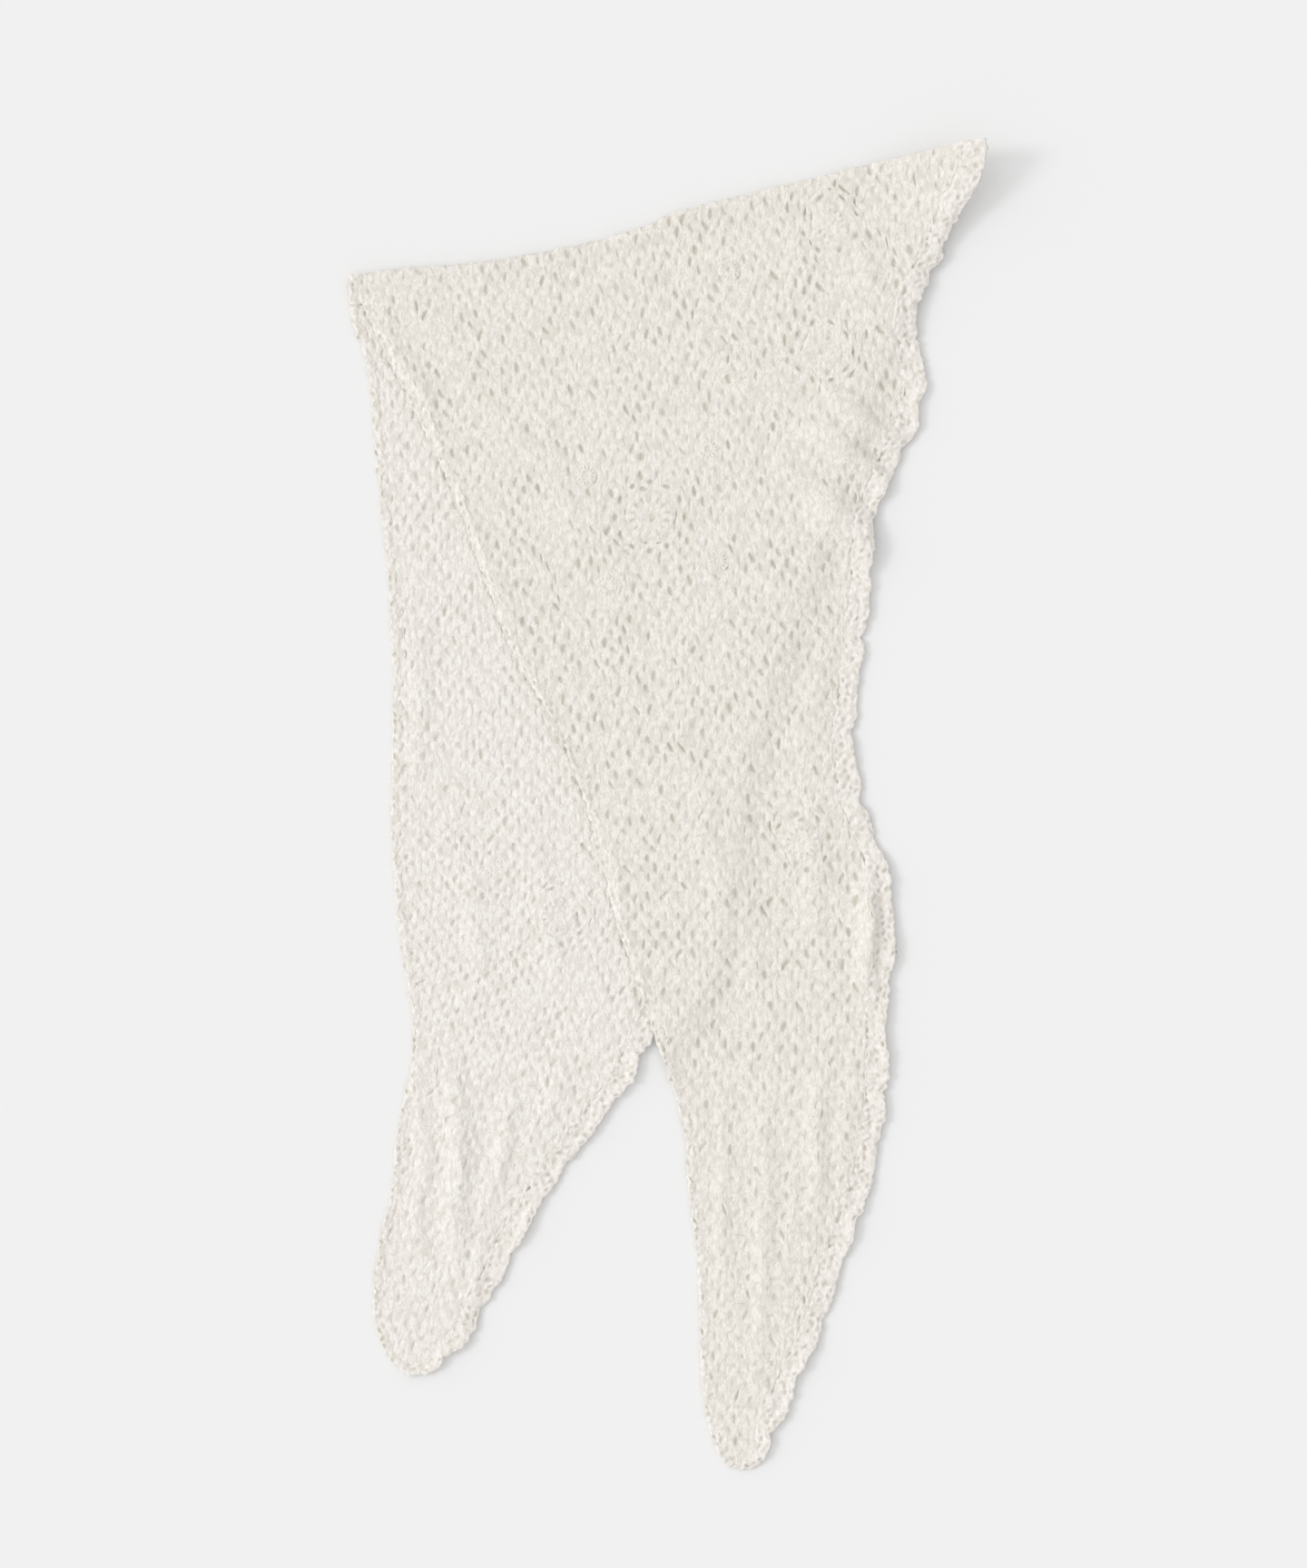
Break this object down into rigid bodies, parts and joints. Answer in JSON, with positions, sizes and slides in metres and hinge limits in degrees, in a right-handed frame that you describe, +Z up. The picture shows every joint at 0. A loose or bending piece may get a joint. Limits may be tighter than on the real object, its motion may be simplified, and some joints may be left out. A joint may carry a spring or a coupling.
{
  "type": "folded lace shawl",
  "caption": "Triangular lace shawl in ivory cotton, folded once across the middle and laid flat, with scalloped borders, flowers and a rolled neck edging.",
  "frame": {"origin": "middle of the folded shawl's outline, on the surface it lies on", "axes": "+Y from the tails to the fold at the top, the shawl's longest way; +X along the fold towards its lifted corner; +Z up from the surface, the shortest way"},
  "size_m": [0.384, 0.805, 0.03],
  "materials": {
    "lace": "matt ivory cotton yarn, worked in open lace",
    "border": "matt ivory cotton yarn, worked in dense bobbles",
    "edging": "matt ivory cotton yarn, worked in a narrow rolled band"
  },
  "bodies": {
    "root": {"under_half": "lace", "upper_half": "lace", "fold_turn": "lace", "border_under": "border", "border_upper": "border", "neck_edging_under": "edging", "neck_edging_upper": "edging"}
  },
  "joints": []
}
